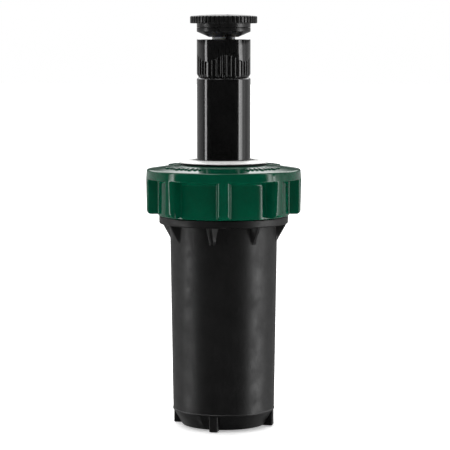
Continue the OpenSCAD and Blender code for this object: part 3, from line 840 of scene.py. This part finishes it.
def build_nozzle():
    groove = [(-5, 0), (-4.2, 0.02), (-3.5, 0.07), (-2.9, 0.14), (-2.5, 0.22), (-2.2, 0.32)]
    groove += [(-2.0, 0.43), (-1.7, 0.5), (0, 0.5)]
    grip = grooved(36, groove)
    grip_low, fade_h = 133.6, 0.75
    rings = []

    def grip_top(a):
        """The grooves end on a wavy line with four crests."""
        return 139.1 + 1.3 * math.cos(math.radians(4 * (a - 6)))

    def row(r, share, height):
        """A ring of radius r, with share of the grooves' depth taken off where there are any."""
        ring = []
        for a, depth in grip:
            z = height(a) if callable(height) else height
            ring.append(at(min(r, RISER_R - depth * share) if share else r, a, z))
        rings.append(ring)

    foot = [(9.1, NOZZLE_LOW), (9.4, NOZZLE_LOW, 0.12), (RISER_R, 133.1, 0.35), (RISER_R, 134.5)]
    for r, z in rounded(foot, closed=False)[1:-1]:
        row(r, 1, z)
    for t in (0.0, 0.25, 0.5, 0.75):
        row(RISER_R, 1, lambda a, t=t: grip_low + (grip_top(a) - fade_h - grip_low) * t)
    # how far under the wavy line, and the share of the depth there
    fades = ((fade_h, 1), (0.55, 0.97), (0.38, 0.86), (0.24, 0.66), (0.12, 0.38), (0.04, 0.12), (0, 0.0))
    for under, share in fades:
        row(RISER_R, share, lambda a, under=under: grip_top(a) - under)
    plain = [
        (RISER_R, CUP_FLOOR),
        (RISER_R, 143.5),
        (RISER_R, 146.0, 0.25),
        (7.6, 146.0, 0.15),
        (7.6, CUP_FLOOR, 0.4),
        (1.63, CUP_FLOOR, 0.1),
        (1.63, 139.0, 0.1),
        (9.0, 139.0, 0.3),
        (9.0, NOZZLE_LOW, 0.1),
        (9.3, NOZZLE_LOW),
    ]
    for r, z in rounded(plain, closed=False):
        row(r, 0, z)
    shape = Shape()
    shape.loft(rings)
    for x in (3.6, -3.6):
        shape.rod(x, 0.0, 0.7, 134.0, 138.98, seg=24)
    obj = shape.finish("nozzle_shell", "riser_body", riser_black, ("nozzle_base",))
    holes = Shape()
    for i in range(6):
        x, y, _ = at(5.0, 60 * i + 30, 0)
        holes.rod(x, y, 1.25, 138.0, 142.0, seg=32)
    cut(obj, holes)


# ---------------------------------------------------------------- deflector and knob


def build_deflector():
    shape = Shape()
    sleeve_r, ramp_r = 4.54, 5.45
    ramp_z, ramp_top, ramp_rise = 146.9, 147.2, 0.5
    tab_start, tab_end, ramp_start, ramp_end = 10.5, 36.5, 36.4, 357.4
    profile = [
        (1.62, 142.0),
        (3.05, 142.0, 0.15),
        (3.05, 147.85, 0.1),
        (4.42, 147.85),
        (4.42, ramp_z, 0.05),
        (5.5, ramp_z, 0.12),
        (RISER_R, 148.9, 0.3),
        (RISER_R, 150.4, 0.14),
        (6.0, 150.4),
        (6.0, 152.5, 0.2),
        (1.62, 152.5, 0.1),
    ]
    shape.revolve(rounded(profile))
    for i in range(4):
        shape.block((4.9, 6.95), 2.0, (150.0, 152.4), 90 * i, bevel=0.12)
    tab = [(sleeve_r, 145.3, 0.1), (ramp_r, 145.3, 0.18), (ramp_r, ramp_top), (sleeve_r, ramp_top)]
    shape.sector(rounded(tab), tab_start, tab_end, 12)
    # the ramp opens the arc in one smooth helical turn
    rings, steps = [], 120
    for j, a in enumerate(spread(ramp_start, ramp_end, steps)):
        low = ramp_z - ramp_rise * (1 - j / steps) - 0.005
        outline = [(sleeve_r, low), (5.38, low), (ramp_r, low + 0.05)]
        outline += [(ramp_r, ramp_top), (sleeve_r, ramp_top)]
        rings.append([at(r, a, z) for r, z in outline])
    shape.loft(rings, loop=False, ends=True)
    obj = shape.finish("deflector_detail", "deflector_body", knob_black, ("deflector",))
    cut(obj, Shape().block((4.0, 8.0), 0.68, (145.9, 147.7), 2.5, bevel=0))


def build_knob():
    groove = [(-5, 0), (-3.6, 0), (-2.75, 0), (-2.35, 0.03), (-1.9, 0.2), (-1.45, 0.36), (-1.1, 0.44)]
    groove += [(-0.5, 0.45)]
    grip = grooved(48, groove)
    # the crown's rise in the middle, and the radius outside which the knob is grooved
    crown_h, grip_inner_r = 0.58, 11
    crown_radii = (11.9, 11.2, 10.2, 9.0, 7.6, 6.2, 4.8, 3.6)
    crown = [(r, 154.7 + crown_h * (1 - (r / KNOB_R) ** 2)) for r in crown_radii]
    profile = rounded(
        [
            (6.06, 150.46, 0.08),
            (RISER_R, 150.46, 0.14),
            (RISER_R, 152.0, 0.25),
            (KNOB_R, 152.0, 0.35),
            (KNOB_R, 154.6, 0.45),
            *crown,
            (3.1, 155.23, 0.2),
            (3.1, 152.56, 0.1),
            (6.06, 152.56, 0.1),
        ]
    )
    shape = Shape()
    rings = []
    for r, z in profile:
        rings.append([at(min(r, KNOB_R - depth) if r > grip_inner_r else r, a, z) for a, depth in grip])
    shape.loft(rings)
    obj = shape.finish("knob_detail", "deflector_body", knob_black, ("adjuster_knob",))
    # the pointer line in the knob's top
    cut(obj, Shape().block((5.2, 10.4), 0.9, (154.35, 156.5), 10.5, bevel=0.12))


build_case()
build_cap()
build_seal()
build_collar()
build_spring()
build_riser()
build_nozzle()
build_deflector()
build_knob()


# ---------------------------------------------------------------- floor


def build_floor():
    """A white sheet just under the object, which no reflection shows."""
    bm = bmesh.new()
    bmesh.ops.create_grid(bm, x_segments=8, y_segments=8, size=6)
    mesh = bpy.data.meshes.new("floor")
    bm.to_mesh(mesh)
    bm.free()
    floor = bpy.data.objects.new("floor", mesh)
    bpy.context.scene.collection.objects.link(floor)
    floor.location.z = -0.0002
    floor.visible_glossy = False
    n = Surface("floor_white")
    n.link(n.mix(n.noise(400.0, 2), (0.9, 0.9, 0.9), (0.93, 0.93, 0.93)), n.shader.inputs["Base Color"])
    n.shader.inputs["Roughness"].default_value = 0.9
    n.shader.inputs["Specular IOR Level"].default_value = 0.0
    n.shader.inputs["Emission Color"].default_value = (1, 1, 1, 1)
    n.shader.inputs["Emission Strength"].default_value = 0.4
    mesh.materials.append(n.mat)


build_floor()


# ---------------------------------------------------------------- light


def build_world():
    """White behind the object, and soft boxes and panels that only light it and show in reflections."""
    world = bpy.data.worlds.new("studio")
    bpy.context.scene.world = world
    world.use_nodes = True
    world.node_tree.nodes.clear()
    sky = Tree(world.node_tree)

    def window(value, low, high, soft):
        """1 from low to high, with soft ends."""
        begun = sky.ramp(value, low - soft, low + soft)
        ended = sky.ramp(value, high - soft, high + soft)
        return sky.calc("MULTIPLY", begun, sky.calc("SUBTRACT", 1.0, ended))

    coords = sky.node("ShaderNodeTexCoord")
    xyz = sky.node("ShaderNodeSeparateXYZ")
    sky.link(coords.outputs["Generated"], xyz.inputs[0])
    x, y, z = xyz.outputs
    # degrees round from the front towards +X, up from level, and away from the front either way
    degrees = 180 / math.pi
    turn = sky.calc("MULTIPLY", sky.calc("ARCTAN2", x, sky.calc("MULTIPLY", y, -1.0)), degrees)
    rise = sky.calc("MULTIPLY", sky.calc("ARCSINE", z), degrees)
    away = sky.calc("ABSOLUTE", turn)

    # lowest rise, highest rise and soft edge: every wall sees a tall box, and the cap's rim sees no low one
    tall, low = (-40, 62, 8), (-40, 2.4, 1.2)
    boxes = [
        # strength, where it is round from the front, and its heights: first the boxes at the right
        (7.6, window(turn, 69, 75, 3), tall),
        (2.4, window(turn, 70, 76, 3), low),
        (8.4, window(turn, 78, 82, 3), low),
        (2.4, window(turn, 79, 91, 4), low),
        (0.7, window(turn, 88, 106, 5), low),
        # at the left
        (7.5, window(turn, -84, -79, 1.2), tall),
        (3.5, window(turn, -84, -79, 1.2), low),
        (9.0, window(turn, -87.5, -85.2, 1.2), low),
        # behind, at both sides
        (0.42, sky.ramp(away, 90, 100), low),
        (0.18, sky.ramp(away, 92, 112), (-4, 2.4, 1.2)),
        (0.04, sky.ramp(away, 90, 100), (2.4, 90, 1.2)),
        (3.2, sky.ramp(away, 95, 125), (16, 70, 7)),
        # above, at the front left and then all round
        (5.0, window(turn, -62, -14, 5), (52, 76, 5)),
        (1.7, sky.ramp(rise, 55, 75), (-90, 91, 1)),
    ]
    # a little light comes from everywhere
    total = 0.03
    for strength, across, (low_edge, high_edge, soft) in boxes:
        shape = sky.calc("MULTIPLY", across, window(rise, low_edge, high_edge, soft))
        total = sky.calc("ADD", sky.calc("MULTIPLY", shape, strength), total)
    lit = sky.node("ShaderNodeBackground")
    sky.link(total, lit.inputs["Strength"])
    white = sky.node("ShaderNodeBackground")
    white.inputs["Strength"].default_value = 1.0
    white.inputs["Color"].default_value = (1, 1, 1, 1)
    path = sky.node("ShaderNodeLightPath")
    pick = sky.node("ShaderNodeMixShader")
    sky.link(path.outputs["Is Camera Ray"], pick.inputs[0])
    sky.link(lit.outputs[0], pick.inputs[1])
    sky.link(white.outputs[0], pick.inputs[2])
    out = sky.node("ShaderNodeOutputWorld")
    sky.link(pick.outputs[0], out.inputs["Surface"])


build_world()
scene = bpy.context.scene
scene.view_settings.view_transform = "Standard"
scene.view_settings.look = "None"


# ---------------------------------------------------------------- camera

# in front of the object and a little above it, and aimed at about half its height
camera = bpy.data.objects.new("camera", bpy.data.cameras.new("camera"))
scene.collection.objects.link(camera)
target = Vector((0.0005, 0.0, 0.076))
camera.location = (0.0005, -0.742, 0.1451)
camera.rotation_mode = "QUATERNION"
camera.rotation_quaternion = (target - camera.location).to_track_quat("-Z", "Y")
camera.data.sensor_width = 36.0
camera.data.lens = 157.4
camera.data.clip_start = 0.01
camera.data.clip_end = 50
scene.camera = camera
